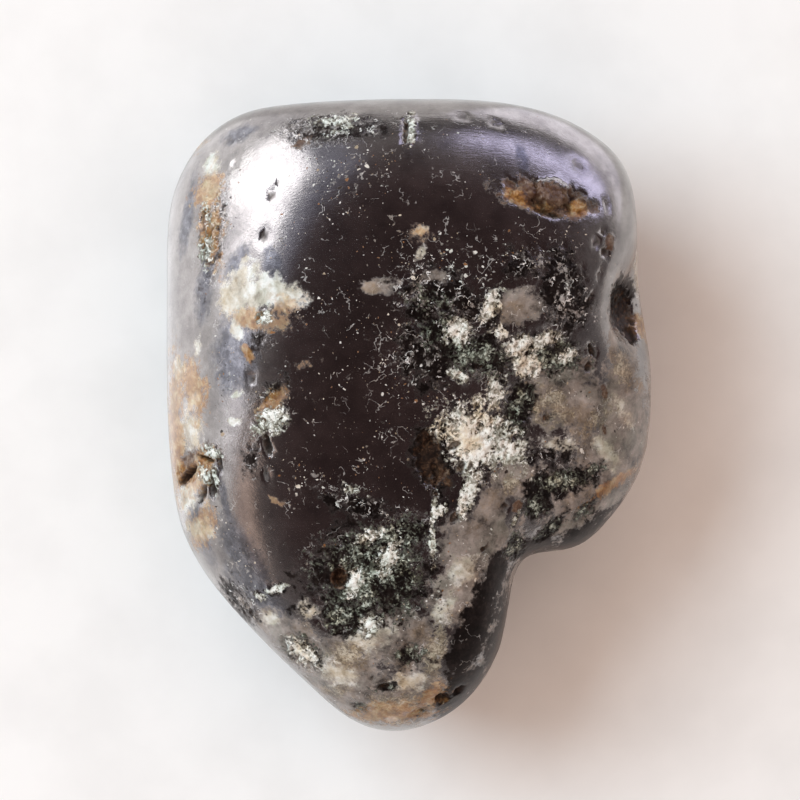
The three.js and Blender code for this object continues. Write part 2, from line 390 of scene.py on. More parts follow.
        Patch(6.9, 10.5, 0.5, 0.06, -38, 0.08),
        Patch(5.7, 11.2, 0.3, 0.06, -28, 0.08),
        Patch(3.6, 12.1, 0.3, 0.08, -30, 0.1),
        Patch(2.3, 12.4, 0.3, 0.07, -18, 0.1),
        Patch(8.2, 8.7, 0.4, 0.06, -72, 0.08),
        Patch(7.9, 5.9, 0.4, 0.06, 62, 0.08),
        Patch(7.5, 4.9, 0.3, 0.06, 60, 0.08),
        Patch(-7.3, 11.4, 0.26, 0.06, 95, 0.1),
        Patch(-7.2, 10.9, 0.16, 0.05, 60, 0.08),
        Patch(-7.2, 10.4, 0.2, 0.05, 100, 0.08),
    ),
}


# Hollows and lumps are shapes, not colour fields, though the depth of the hollows also paints dust and
# shade into them. The minerals with relief need a finer mesh.
SHAPES = (Mineral.HOLLOW, Mineral.LUMP)
RELIEF_MINERALS = (Mineral.CHLORITE, Mineral.CRYSTAL, Mineral.DRUSE, Mineral.RUST, Mineral.CREAM, *SHAPES)

# The rims of these follow their grains.
GRAINED = (Mineral.CRYSTAL, Mineral.CHLORITE)

# What lies under the torn and broken minerals: dull ore, so that their gaps are dark. The dark gaps are
# partly the ore and partly painted shade, as grains that stand low let it show.
UNDERLAID = (Mineral.CHLORITE, Mineral.CRYSTAL, Mineral.DRUSE)
UNDERLAY_SHARE = 0.85

# What shows on the walls and the underside, on the side where the matrix comes through and on the other.
# A mineral shows as often as it is listed.
MATRIX_KINDS = (
    Mineral.QUARTZ,
    Mineral.QUARTZ,
    Mineral.CHLORITE,
    Mineral.CRYSTAL,
    Mineral.DRUSE,
    Mineral.ORE,
    Mineral.STAIN,
    Mineral.HOLLOW,
    Mineral.RUST,
)
ORE_KINDS = (
    Mineral.STEEL,
    Mineral.STEEL,
    Mineral.STEEL,
    Mineral.SPECKS,
    Mineral.SPECKS,
    Mineral.SPECKS,
    Mineral.HOLLOW,
    Mineral.STAIN,
    Mineral.CREAM,
    Mineral.DRUSE,
)

# The mesh attribute that says how high each grain stands. The shader paints low grains darker and high ones
# paler: painted shade in the gaps between grains.
GRAIN_SHADE_LAYER = "grain"


# ---------------------------------------------------------------- grain patterns

# Large odd numbers that stir a cell's place and a seed into bits that look random, and how they are used.
CELL_PRIMES = (73856093, 19349663, 83492791)
SEED_PRIME = 2654435761
FIRST_STIR = 1274126177
FIRST_SHIFT = 13
SECOND_STIR = 668265263
SECOND_SHIFT = 16
KEPT_BITS = 0x7FFFFFFF
HASH_LEVELS = 65521

# Soft noise: how far each seed moves it, how its finer layers weaken, and how much finer each is.
NOISE_SHIFT = Vector((17.3, 5.1, 29.7))
NOISE_WEAKENS = 1.0
NOISE_NARROWS = 2.0


def cell_hash(cells: np.ndarray, seed: int) -> np.ndarray:
    """Gives each whole-numbered cell three fixed random numbers.

    Args:
        cells: One row of three whole numbers for each cell.
        seed: Which set of random numbers to draw from.

    Returns:
        One row of three numbers from 0 to 1 for each cell.
    """
    steps = cells.astype(np.int64)
    along, across, up = (steps[..., axis] * prime for axis, prime in enumerate(CELL_PRIMES))
    mixed = along ^ across ^ up ^ seed * SEED_PRIME
    columns = []
    for turn in range(3):
        mixed = (mixed ^ (mixed >> FIRST_SHIFT)) * FIRST_STIR & KEPT_BITS
        mixed = (mixed ^ (mixed >> SECOND_SHIFT)) * SECOND_STIR + turn & KEPT_BITS
        columns.append((mixed % HASH_LEVELS) / HASH_LEVELS)
    return np.stack(columns, axis=-1)


@dataclass(frozen=True)
class Grains:
    """Which grain of a packed mineral each point lies in."""

    middles: np.ndarray
    chance: np.ndarray

    @classmethod
    def packed(cls, points: np.ndarray, size: float, seed: int) -> "Grains":
        """Packs space with grains and finds the one that holds each point.

        Args:
            points: One row of millimetres for each point.
            size: How wide a grain is, in millimetres.
            seed: Which packing to use.

        Returns:
            The middle of each point's grain, and three random numbers that belong to that grain.
        """
        scaled = points / size
        base = np.floor(scaled)
        nearest = np.full(len(points), np.inf)
        middles = np.zeros_like(points)
        chance = np.zeros_like(points)
        for step in np.ndindex(3, 3, 3):
            cells = base + np.array(step) - 1
            place = cells + cell_hash(cells, seed)
            gap = np.linalg.norm(scaled - place, axis=1)
            closer = gap < nearest
            middles[closer] = place[closer] * size
            chance[closer] = cell_hash(cells, seed + 1)[closer]
            nearest = np.where(closer, gap, nearest)
        return cls(middles, chance)

    def facets(self, points: np.ndarray, size: float) -> np.ndarray:
        """Tilts each grain's own face.

        Args:
            points: The points that were packed.
            size: How wide a grain is, in millimetres.

        Returns:
            How high the face of each point's grain stands there, from about -1 to 1.
        """
        tilts = self.chance * 2.0 - 1.0
        lean = np.einsum("ij,ij->i", points - self.middles, tilts) / size
        return lean + (self.chance[:, 0] - 0.5)


def clouds(points: np.ndarray, size: float, seed: int, octaves: int = 3) -> np.ndarray:
    """Draws soft noise.

    Args:
        points: One row of millimetres for each point.
        size: The width of the broadest lump, in millimetres.
        seed: Moves the pattern, so that two of the same size differ.
        octaves: How many layers it has, each finer than the last.

    Returns:
        A number from about -1 to 1 for each point.
    """
    shift = NOISE_SHIFT * seed
    places = (Vector(p) / size + shift for p in points.tolist())
    rows = (noise.fractal(place, NOISE_WEAKENS, NOISE_NARROWS, octaves) for place in places)
    return np.fromiter(rows, float, len(points))


def ramp(values: np.ndarray, low: float, high: float) -> np.ndarray:
    """Rises smoothly from 0 at low to 1 at high."""
    share = np.clip((values - low) / (high - low), 0.0, 1.0)
    return share * share * (3.0 - 2.0 * share)


def heading(turn: float, lift: float) -> Vector:
    """Gives the direction at a turn about +Z from +X and a lift above the floor, both in radians."""
    return Vector((math.cos(turn) * math.cos(lift), math.sin(turn) * math.cos(lift), math.sin(lift)))


# ---------------------------------------------------------------- the stone's surface

# How near to a patch a point in its middle counts as, and one on its rim.
MIDDLE_NEARNESS = 1.5
RIM_NEARNESS = MIDDLE_NEARNESS - 1.0


@dataclass(frozen=True)
class Ellipse:
    """A patch laid on the surface: its middle, its three axes, and how far it reaches along each."""

    mineral: Mineral
    middle: np.ndarray
    axes: np.ndarray
    reach: np.ndarray
    amount: float

    def nearness(self, points: np.ndarray) -> np.ndarray:
        """Gives how near each point is to the patch: most in its middle, and falling on past its rim."""
        local = (points - self.middle) @ self.axes.T / self.reach
        return MIDDLE_NEARNESS - np.linalg.norm(local, axis=1)


@dataclass
class PatchLayer:
    """Lays the patches on the stone: those seen from above, and others like them on the sides not seen.

    Lengths are in millimetres and angles in degrees. The matrix comes through the walls where the cosine of
    the turn away from its heading is over matrix_spread. A pair of numbers is the least and the most that a
    patch on the sides is given, and a slimness is its width over its length. Specks are stretched along and
    across. A patch's x and y are where the line of sight to it crosses the sight height.
    """

    eye: Vector
    sight_height: float = 7.0
    depth_share: float = 4.0
    side_seed: int = 11
    side_count: int = 140
    side_rise: tuple[float, float] = (-80.0, 8.0)
    side_long: tuple[float, float] = (0.3, 1.9)
    side_slimness: tuple[float, float] = (0.12, 0.7)
    side_hollow_depth: tuple[float, float] = (0.1, 0.35)
    hollow_shrink: float = 0.4
    specks_stretch: tuple[float, float] = (2.0, 2.5)
    matrix_heading: float = -42.0
    matrix_spread: float = 0.35

    def lay(self, surface: BVHTree, middle: Vector) -> list[Ellipse]:
        """Finds where every patch lies on the surface.

        Args:
            surface: The stone's surface, in millimetres.
            middle: The middle of the stone.

        Returns:
            The patches as ellipses on the surface.
        """
        laid = []
        for mineral, patches in PATCHES.items():
            laid += [self.from_above(surface, mineral, patch) for patch in patches]
        return laid + self.unseen(surface, middle)

    def from_above(self, surface: BVHTree, mineral: Mineral, patch: Patch) -> Ellipse:
        """Lays one patch where it is seen from the eye above the stone.

        Args:
            surface: The stone's surface, in millimetres.
            mineral: What the patch is of.
            patch: The patch.

        Returns:
            The patch as an ellipse on the surface. It lies level and reaches deep, to wrap a slope.
        """
        aim = Vector((patch.x, patch.y, self.sight_height)) - self.eye
        hit = surface.ray_cast(self.eye, aim)[0]
        if hit is None:
            raise ValueError(f"no surface under {mineral.value} at {patch.x}, {patch.y}")
        turn = math.radians(patch.turn)
        along = np.array((math.cos(turn), math.sin(turn), 0.0))
        across = np.array((-math.sin(turn), math.cos(turn), 0.0))
        up = np.array((0.0, 0.0, 1.0))
        deep = self.depth_share * max(patch.long, patch.wide)
        reach = np.array((patch.long, patch.wide, deep))
        return Ellipse(mineral, np.array(hit), np.stack((along, across, up)), reach, patch.amount)

    def unseen(self, surface: BVHTree, middle: Vector) -> list[Ellipse]:
        """Scatters more patches of the same minerals over the walls and the underside.

        Args:
            surface: The stone's surface, in millimetres.
            middle: The middle of the stone.

        Returns:
            The patches as ellipses, each lying along the surface.
        """
        rng = random.Random(self.side_seed)
        laid = []
        for _ in range(self.side_count):
            turn = rng.uniform(0.0, 2.0 * math.pi)
            in_matrix = math.cos(turn - math.radians(self.matrix_heading)) > self.matrix_spread
            mineral = rng.choice(MATRIX_KINDS if in_matrix else ORE_KINDS)
            rise = math.radians(rng.uniform(*self.side_rise))
            hit, normal = surface.ray_cast(middle, heading(turn, rise))[:2]
            long = rng.uniform(*self.side_long)
            wide = long * rng.uniform(*self.side_slimness)
            amount = 1.0
            if mineral is Mineral.HOLLOW:
                amount = rng.uniform(*self.side_hollow_depth)
                long *= self.hollow_shrink
                wide *= self.hollow_shrink
            if mineral is Mineral.SPECKS:
                long *= self.specks_stretch[0]
                wide *= self.specks_stretch[1]
            along = normal.cross(Vector([rng.uniform(-1.0, 1.0) for _ in range(3)])).normalized()
            axes = np.array((along, normal.cross(along), normal))
            reach = np.array((long, wide, max(long, wide)))
            laid.append(Ellipse(mineral, np.array(hit), axes, reach, amount))
        return laid


@dataclass
class StoneSurface:
    """The stone's outer surface, worked up from the frame's own solid.

    Its triangles are halved until the tumbled form is smooth. They are halved again where grains and pits
    need it, once for each nearness, which is how near the middle of a patch an edge must be.
    """

    eye: Vector
    weld_distance: float = 0.001
    halvings: int = 1
    smoothings: int = 9
    smoothing: float = 0.5
    grain_nearness: tuple[float, ...] = (-0.3, 0.3)
    shape_nearness: float = 0.5

    def build(self) -> bpy.types.Object:
        """Builds the mesh, with the minerals as attributes.

        Returns:
            The finished object, at the origin, with its place in its mesh.
        """
        shape = self.tumbled()
        surface = BVHTree.FromBMesh(shape)
        middle = Vector(np.mean([v.co for v in shape.verts], axis=0))
        ellipses = PatchLayer(self.eye).lay(surface, middle)
        for nearness in self.grain_nearness:
            self.halve_near(shape, ellipses, RELIEF_MINERALS, nearness)
        self.halve_near(shape, ellipses, SHAPES, self.shape_nearness)
        bmesh.ops.triangulate(shape, faces=shape.faces)
        relief = Relief(self.points(shape), self.normals(shape), ellipses)
        for vert, place in zip(shape.verts, relief.moved().tolist()):
            vert.co = place
        bmesh.ops.scale(shape, vec=(MM,) * 3, verts=shape.verts)
        bmesh.ops.recalc_face_normals(shape, faces=shape.faces)
        mesh = bpy.data.meshes.new("stone")
        shape.to_mesh(mesh)
        shape.free()
        for name, values in relief.layers().items():
            layer = mesh.attributes.new(name, "FLOAT", "POINT")
            layer.data.foreach_set("value", values.astype(np.float32))
        mesh.polygons.foreach_set("use_smooth", [True] * len(mesh.polygons))
        stone = bpy.data.objects.new("stone", mesh)
        bpy.context.scene.collection.objects.link(stone)
        return stone

    def tumbled(self) -> bmesh.types.BMesh:
        """Smooths the frame's solid.

        Returns:
            The tumbled form, in millimetres.
        """
        shape = bmesh.new()
        shape.from_mesh(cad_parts[NODE].data)
        bmesh.ops.remove_doubles(shape, verts=shape.verts, dist=self.weld_distance * MM)
        bmesh.ops.scale(shape, vec=(1.0 / MM,) * 3, verts=shape.verts)
        for _ in range(self.halvings):
            bmesh.ops.subdivide_edges(shape, edges=shape.edges, cuts=1, use_grid_fill=True)
        axes = {"use_axis_x": True, "use_axis_y": True, "use_axis_z": True}
        for _ in range(self.smoothings):
            bmesh.ops.smooth_vert(shape, verts=shape.verts, factor=self.smoothing, **axes)
        return shape

    @staticmethod
    def points(shape: bmesh.types.BMesh) -> np.ndarray:
        """Gives one row of millimetres for each vertex."""
        return np.array([v.co for v in shape.verts])

    @staticmethod
    def normals(shape: bmesh.types.BMesh) -> np.ndarray:
        """Gives the outward direction at each vertex."""
        shape.normal_update()
        return np.array([v.normal for v in shape.verts])

    def halve_near(
        self,
        shape: bmesh.types.BMesh,
        ellipses: list[Ellipse],
        minerals: tuple[Mineral, ...],
        nearness: float,
    ) -> None:
        """Halves the edges that lie in a patch.

        Args:
            shape: The mesh.
            ellipses: All the patches.
            minerals: Whose patches count.
            nearness: How near the middle of a patch an edge must be.
        """
        points = self.points(shape)
        nearest = np.full(len(points), -np.inf)
        for ellipse in ellipses:
            if ellipse.mineral in minerals:
                nearest = np.maximum(nearest, ellipse.nearness(points))
        shape.verts.index_update()
        inside = nearest > nearness
        edges = [e for e in shape.edges if inside[e.verts[0].index] and inside[e.verts[1].index]]
        bmesh.ops.subdivide_edges(shape, edges=edges, cuts=1, use_grid_fill=True)


@dataclass(frozen=True)
class Texture:
    """How far a mineral stands out of the tumbled form, in millimetres.

    Coarse and small are the height of its grains, broad and fine that of its lumps, and sunk is how far it
    lies back as a whole.
    """

    coarse: float = 0.0
    small: float = 0.0
    broad: float = 0.0
    fine: float = 0.0
    sunk: float = 0.0


TEXTURES: dict[Mineral, Texture] = {
    Mineral.QUARTZ: Texture(broad=0.03, sunk=0.02),
    Mineral.CHLORITE: Texture(coarse=0.05, small=0.03, sunk=0.05),
    Mineral.CRYSTAL: Texture(coarse=0.07, small=0.04),
    Mineral.DRUSE: Texture(small=0.03, fine=0.03, sunk=0.02),
    Mineral.RUST: Texture(small=0.03, fine=0.07, sunk=0.03),
}


@dataclass
class Relief:
    """Works out how much of each mineral every point has, and how far its grains stand out or lie back.

    It is given a row of millimetres for each vertex, the outward direction there, and the patches. Sizes,
    heights and depths are in millimetres. A push says how far each kind of noise moves a rim about, and rim
    and bowl say how near a patch's middle the mineral or the hollow starts, and where it is full.
    """

    points: np.ndarray
    normals: np.ndarray
    ellipses: list[Ellipse]
    broad_size: float = 1.4
    broad_seed: int = 1
    fine_size: float = 0.4
    fine_seed: int = 2
    swell_size: float = 3.0
    swell_seed: int = 5
    swell_layers: int = 2
    swell_height: float = 0.012
    coarse_grain: float = 0.3
    coarse_seed: int = 21
    small_grain: float = 0.14
    small_seed: int = 31
    grain_hold: float = 0.6
    outside: float = -1.0
    rim_push: tuple[float, float] = (0.3, 0.2)
    rim: tuple[float, float] = (0.4, 0.62)
    bowl_push: tuple[float, float, float] = (0.15, 0.3, 0.12)
    bowl: tuple[float, float] = (0.4, 0.95)
    full_depth: float = 0.3
    # How pale a grain is painted for how high it stands: painted shade where grains sink, on top of each
    # grain's own random tone.
    grain_shade_tones: tuple[float, float, float] = (0.5, 0.35, 0.3)
    broad: np.ndarray = field(init=False)
    fine: np.ndarray = field(init=False)
    coarse: np.ndarray = field(init=False)
    small: np.ndarray = field(init=False)
    held: np.ndarray = field(init=False)
    fields: dict[Mineral, np.ndarray] = field(init=False)
    depth: np.ndarray = field(init=False)
    lumps: np.ndarray = field(init=False)

    def __post_init__(self) -> None:
        """Draws the noise and the grains, and measures every patch at every point."""
        self.broad = clouds(self.points, self.broad_size, self.broad_seed)
        self.fine = clouds(self.points, self.fine_size, self.fine_seed)
        coarse_grains = Grains.packed(self.points, self.coarse_grain, self.coarse_seed)
        small_grains = Grains.packed(self.points, self.small_grain, self.small_seed)
        self.coarse = coarse_grains.facets(self.points, self.coarse_grain)
        self.small = small_grains.facets(self.points, self.small_grain)
        self.held = (1.0 - self.grain_hold) * self.points + self.grain_hold * small_grains.middles
        self.fields = {mineral: self.field_of(mineral) for mineral in Mineral if mineral not in SHAPES}
        self.depth = self.shape_height(Mineral.HOLLOW)
        self.lumps = self.shape_height(Mineral.LUMP)

    def field_of(self, mineral: Mineral) -> np.ndarray:
        """Measures how deep in the patches of one mineral each point lies.

        Args:
            mineral: The mineral.

        Returns:
            A number for each point: 0.5 on a rim and up to 1.5 inside, pushed about by noise.
        """
        most = np.full(len(self.points), self.outside)
        places = self.held if mineral in GRAINED else self.points
        for ellipse in self.ellipses:
            if ellipse.mineral is mineral:
                most = np.maximum(most, ellipse.nearness(places) * ellipse.amount)
            elif mineral is Mineral.ORE and ellipse.mineral in UNDERLAID:
                most = np.maximum(most, ellipse.nearness(places) * ellipse.amount * UNDERLAY_SHARE)
        turn = 1.0 if mineral.order % 2 else -1.0
        return most + turn * (self.rim_push[0] * self.broad + self.rim_push[1] * self.fine)

    def shape_height(self, shape: Mineral) -> np.ndarray:
        """Measures the hollows or the lumps.

        Args:
            shape: Which of the two to measure.

        Returns:
            How deep the hollows are, or how high the lumps, at each point, in millimetres.
        """
        most = np.zeros(len(self.points))
        noises = (self.broad, self.fine, self.small)
        ragged = sum(push * values for push, values in zip(self.bowl_push, noises))
        for ellipse in self.ellipses:
            if ellipse.mineral is shape:
                bowl = ramp(ellipse.nearness(self.points) + ragged, *self.bowl)
                most = np.maximum(most, ellipse.amount * bowl)
        return most

    def height(self) -> np.ndarray:
        """Adds up the swell of the whole surface, every mineral's own texture, the lumps and the hollows.

        Returns:
            How far each point stands out of the tumbled form, in millimetres.
        """
        swell = clouds(self.points, self.swell_size, self.swell_seed, self.swell_layers)
        height = self.swell_height * swell
        for mineral, texture in TEXTURES.items():
            stands = texture.coarse * self.coarse + texture.small * self.small
            stands += texture.broad * self.broad + texture.fine * self.fine - texture.sunk
            height += ramp(self.fields[mineral], *self.rim) * stands
        return height + self.lumps - self.depth

    def moved(self) -> np.ndarray:
        """Moves every vertex out or in along its own outward direction.

        Returns:
            Their new places, none lower than the surface that the stone rests on.
        """
        places = self.points + self.normals * self.height()[:, None]
        places[:, 2] = np.maximum(places[:, 2], 0.0)
        return places

    def layers(self) -> dict[str, np.ndarray]:
        """Names what the shader reads.

        Returns:
            The mesh attributes: each mineral's field, the hollows, and how high each grain stands, as a
                tone that the shader turns into painted shade between the grains.
        """
        named = {mineral.value: deep for mineral, deep in self.fields.items()}
        # How deep each hollow is, which the shader fills with dark dust that is partly painted shade.
        named[Mineral.HOLLOW.value] = np.clip((self.depth - self.lumps) / self.full_depth, 0.0, 1.0)
        middle, coarse_gain, small_gain = self.grain_shade_tones
        shade_tones = middle + coarse_gain * self.coarse + small_gain * self.small
        named[GRAIN_SHADE_LAYER] = np.clip(shade_tones, 0.0, 1.0)
        return named


# ---------------------------------------------------------------- finishes

# The Mix node has its inputs for plain numbers and for colours under the same names, so they go by number.
NUMBER_A, NUMBER_B, NUMBER_OUT = 2, 3, 0
COLOUR_A, COLOUR_B, COLOUR_OUT = 6, 7, 2

# The value that a noise lies about.
NOISE_MIDDLE = 0.5


def linear(colour: str) -> tuple[float, float, float, float]:
    """Turns an sRGB colour into a linear one.

    Args:
        colour: The sRGB colour, as a hex string.

    Returns:
        Its linear red, green and blue, and full alpha.
    """
    parts = (int(colour[i : i + 2], 16) / 255.0 for i in (1, 3, 5))
    red, green, blue = (p / 12.92 if p <= 0.04045 else ((p + 0.055) / 1.055) ** 2.4 for p in parts)
    return red, green, blue, 1.0


def add_node(
    tree: bpy.types.NodeTree,
    kind: str,
    settings: dict[str, Any] | None = None,
    inputs: dict[Any, Any] | None = None,
    stops: Sequence[tuple[float, tuple[float, ...]]] = (),
) -> bpy.types.Node:
    """Adds one shader node.

    Args:
        tree: The node tree that it goes in.
        kind: The name of its type.
        settings: The node's own properties.
        inputs: For each input's name or number, a value, or an output socket to link it to.
        stops: The place and the linear colour of each stop on a colour ramp, from the lowest up.

    Returns:
        The new node.
    """
    node = tree.nodes.new(kind)
    for name, value in (settings or {}).items():
        setattr(node, name, value)
    for name, value in (inputs or {}).items():
        socket = node.inputs[name]
        if isinstance(value, bpy.types.NodeSocket):
            tree.links.new(value, socket)
        else:
            socket.default_value = value
    for place, _ in stops[1:-1]:
        node.color_ramp.elements.new(place)
    for index, (place, colour) in enumerate(stops):
        node.color_ramp.elements[index].position = place
        node.color_ramp.elements[index].color = colour
    return node


class Pattern(Enum):
    """How a mineral's dark and pale parts are shared out."""

    CLOUDS = "clouds"
    GRAINS = "grains"
    THREADS = "threads"


@dataclass(frozen=True)
class Finish:
    """One mineral as the eye sees it.

    Its colours run from dark to pale, and its stops are the tones, from 0 to 1, at which each is reached.
    The size is that of its clouds, or how far apart its threads run, and the grain that of its crystals,
    both in millimetres. Ragged says how far the broad, middling and fine noise push its rim about, soft how
    gradually it thins out there, and cover how much a full patch hides of what lies under it.
    """

    colours: tuple[str, str, str]
    stops: tuple[float, float, float]
    size: float
    pattern: Pattern = Pattern.CLOUDS
    grain: float = 0.1
    roughness: float = 0.4
    metallic: float = 0.0
    ragged: tuple[float, float, float] = (0.8, 0.6, 0.3)
    soft: float = 0.1
    cover: float = 1.0


FINISHES: dict[Mineral, Finish] = {
    # Magnetite with fine inclusions, polished less well: a streaky blue grey.
    Mineral.STEEL: Finish(
        ("#44454b", "#62636b", "#8d8e95"), stops=(0.36, 0.5, 0.66), size=0.5, roughness=0.27,
        metallic=0.9, ragged=(0.8, 1.0, 0.6), soft=0.5, cover=0.85,
    ),
    # Smoky quartz and feldspar, tumbled smooth: cloudy, half clear, with the ore showing through it.
    Mineral.QUARTZ: Finish(
        ("#393331", "#827973", "#b4aaa5"), stops=(0.34, 0.47, 0.68), size=1.0, roughness=0.24,
        ragged=(0.9, 1.2, 0.7), soft=0.22, cover=0.95,
    ),
    # Milky quartz: opaque white to cream.
    Mineral.CREAM: Finish(
        ("#85796a", "#cdc6b8", "#f1f1ef"), stops=(0.3, 0.47, 0.62), size=0.8, roughness=0.3,
        ragged=(0.85, 1.15, 0.8), soft=0.34, cover=0.92,
    ),
    # Weathered feldspar: sandy grains of yellow brown.
    Mineral.FELDSPAR: Finish(
        ("#4b4136", "#897d6c", "#cdc4b2"), stops=(0.34, 0.5, 0.74), size=0.5,
        pattern=Pattern.GRAINS, grain=0.07, ragged=(0.9, 1.5, 1.2), soft=0.26, cover=0.85,
    ),
    # Ore that breaks dull and takes no polish: brown black, with little shine.
    Mineral.ORE: Finish(
        ("#1a1412", "#2a2220", "#463c38"), stops=(0.36, 0.52, 0.72), size=0.5, metallic=0.85,
        ragged=(0.8, 1.2, 0.8), soft=0.2, cover=0.97,
    ),
    # Broken crystals too small to polish, strewn over the ore: fine white threads.
    Mineral.SPECKS: Finish(
        ("#8b817a", "#b5b0ae", "#cfcccb"), stops=(0.8, 0.9, 1.0), size=0.7, pattern=Pattern.THREADS,
        ragged=(1.2, 1.9, 1.4), soft=0.4, cover=0.5,
    ),
    # Druse, the same crystals grown into a skin: a mesh of white threads on brown black.
    Mineral.DRUSE: Finish(
        ("#5c5450", "#b3aeae", "#e9e7e8"), stops=(0.62, 0.76, 1.0), size=0.4,
        pattern=Pattern.THREADS, grain=0.09, ragged=(0.9, 1.3, 1.0), soft=0.3, cover=0.95,
    ),
    # Chlorite, torn rather than polished: grains of green black, mint and white.
    Mineral.CHLORITE: Finish(
        ("#191914", "#575a50", "#ced6cc"), stops=(0.5, 0.63, 0.8), size=0.6, pattern=Pattern.GRAINS,
        grain=0.08, roughness=0.5, ragged=(0.8, 1.5, 1.4), soft=0.16,
    ),
    # Limonite rust in the pits and cracks: grey brown lumps, orange where they meet.
    Mineral.RUST: Finish(
        ("#3b1f0e", "#5e4230", "#8f7a69"), stops=(0.36, 0.5, 0.68), size=0.35, roughness=0.36,
        ragged=(0.6, 1.1, 0.9), soft=0.18, cover=0.95,
    ),
    # Iron stain that has soaked into whatever it lies on: a thin orange glaze.
    Mineral.STAIN: Finish(
        ("#84500f", "#bf8538", "#e4cd9f"), stops=(0.36, 0.5, 0.66), size=0.35,
        ragged=(1.3, 1.9, 1.5), soft=0.4, cover=0.52,
    ),
    # Calcite and quartz crystals, broken: a bright white tangle with dark gaps, which are partly painted
    # shade where the grains sink.
    Mineral.CRYSTAL: Finish(
        ("#4a3d30", "#9c9a8f", "#f9f9f6"), stops=(0.35, 0.47, 0.62), size=0.42,
        pattern=Pattern.THREADS, roughness=0.42, ragged=(1.0, 1.7, 1.5), soft=0.18,
    ),
}

# Magnetite, tumbled to a metallic polish: near black, and it mirrors whatever is pale beside it.
MAGNETITE = Finish(
    ("#7b7777", "#95918f", "#aca8a6"), stops=(0.3, 0.5, 0.7), size=1.3, roughness=0.2, metallic=0.97
)

# The matrix is not one white: it leans to yellow brown in some places and to green in others.
TINGE = Finish(("#e8d9c2", "#f9f7f4", "#dee4dd"), stops=(0.36, 0.49, 0.62), size=1.9)

# The dust and torn fibres at the bottom of a hollow: matt dark brown. It covers more the deeper the hollow
# is, so it is partly painted shade.
DUST_AND_SHADE = Finish(("#140c08", "#2b1c13", "#6e503a"), stops=(0.4, 0.52, 0.68), size=0.22, roughness=0.8)

# What the specks are, each with where its share of them starts: rust, pits, ore, quartz and feldspar. The
# pits are flat dark brown, painted shade with no hole in the mesh.
SPECK_AND_PIT_SHADE_COLOURS = ((0.0, "#8a5c34"), (0.1, "#271b15"), (0.4, "#7d756f"), (0.55, "#dedbd8"), (0.87, "#a8957f"))


@dataclass(frozen=True)
class Skin:
    """What the shader has so far: its colour, roughness and metallic share, as sockets or plain values."""

    colour: Any
    roughness: Any
    metallic: Any


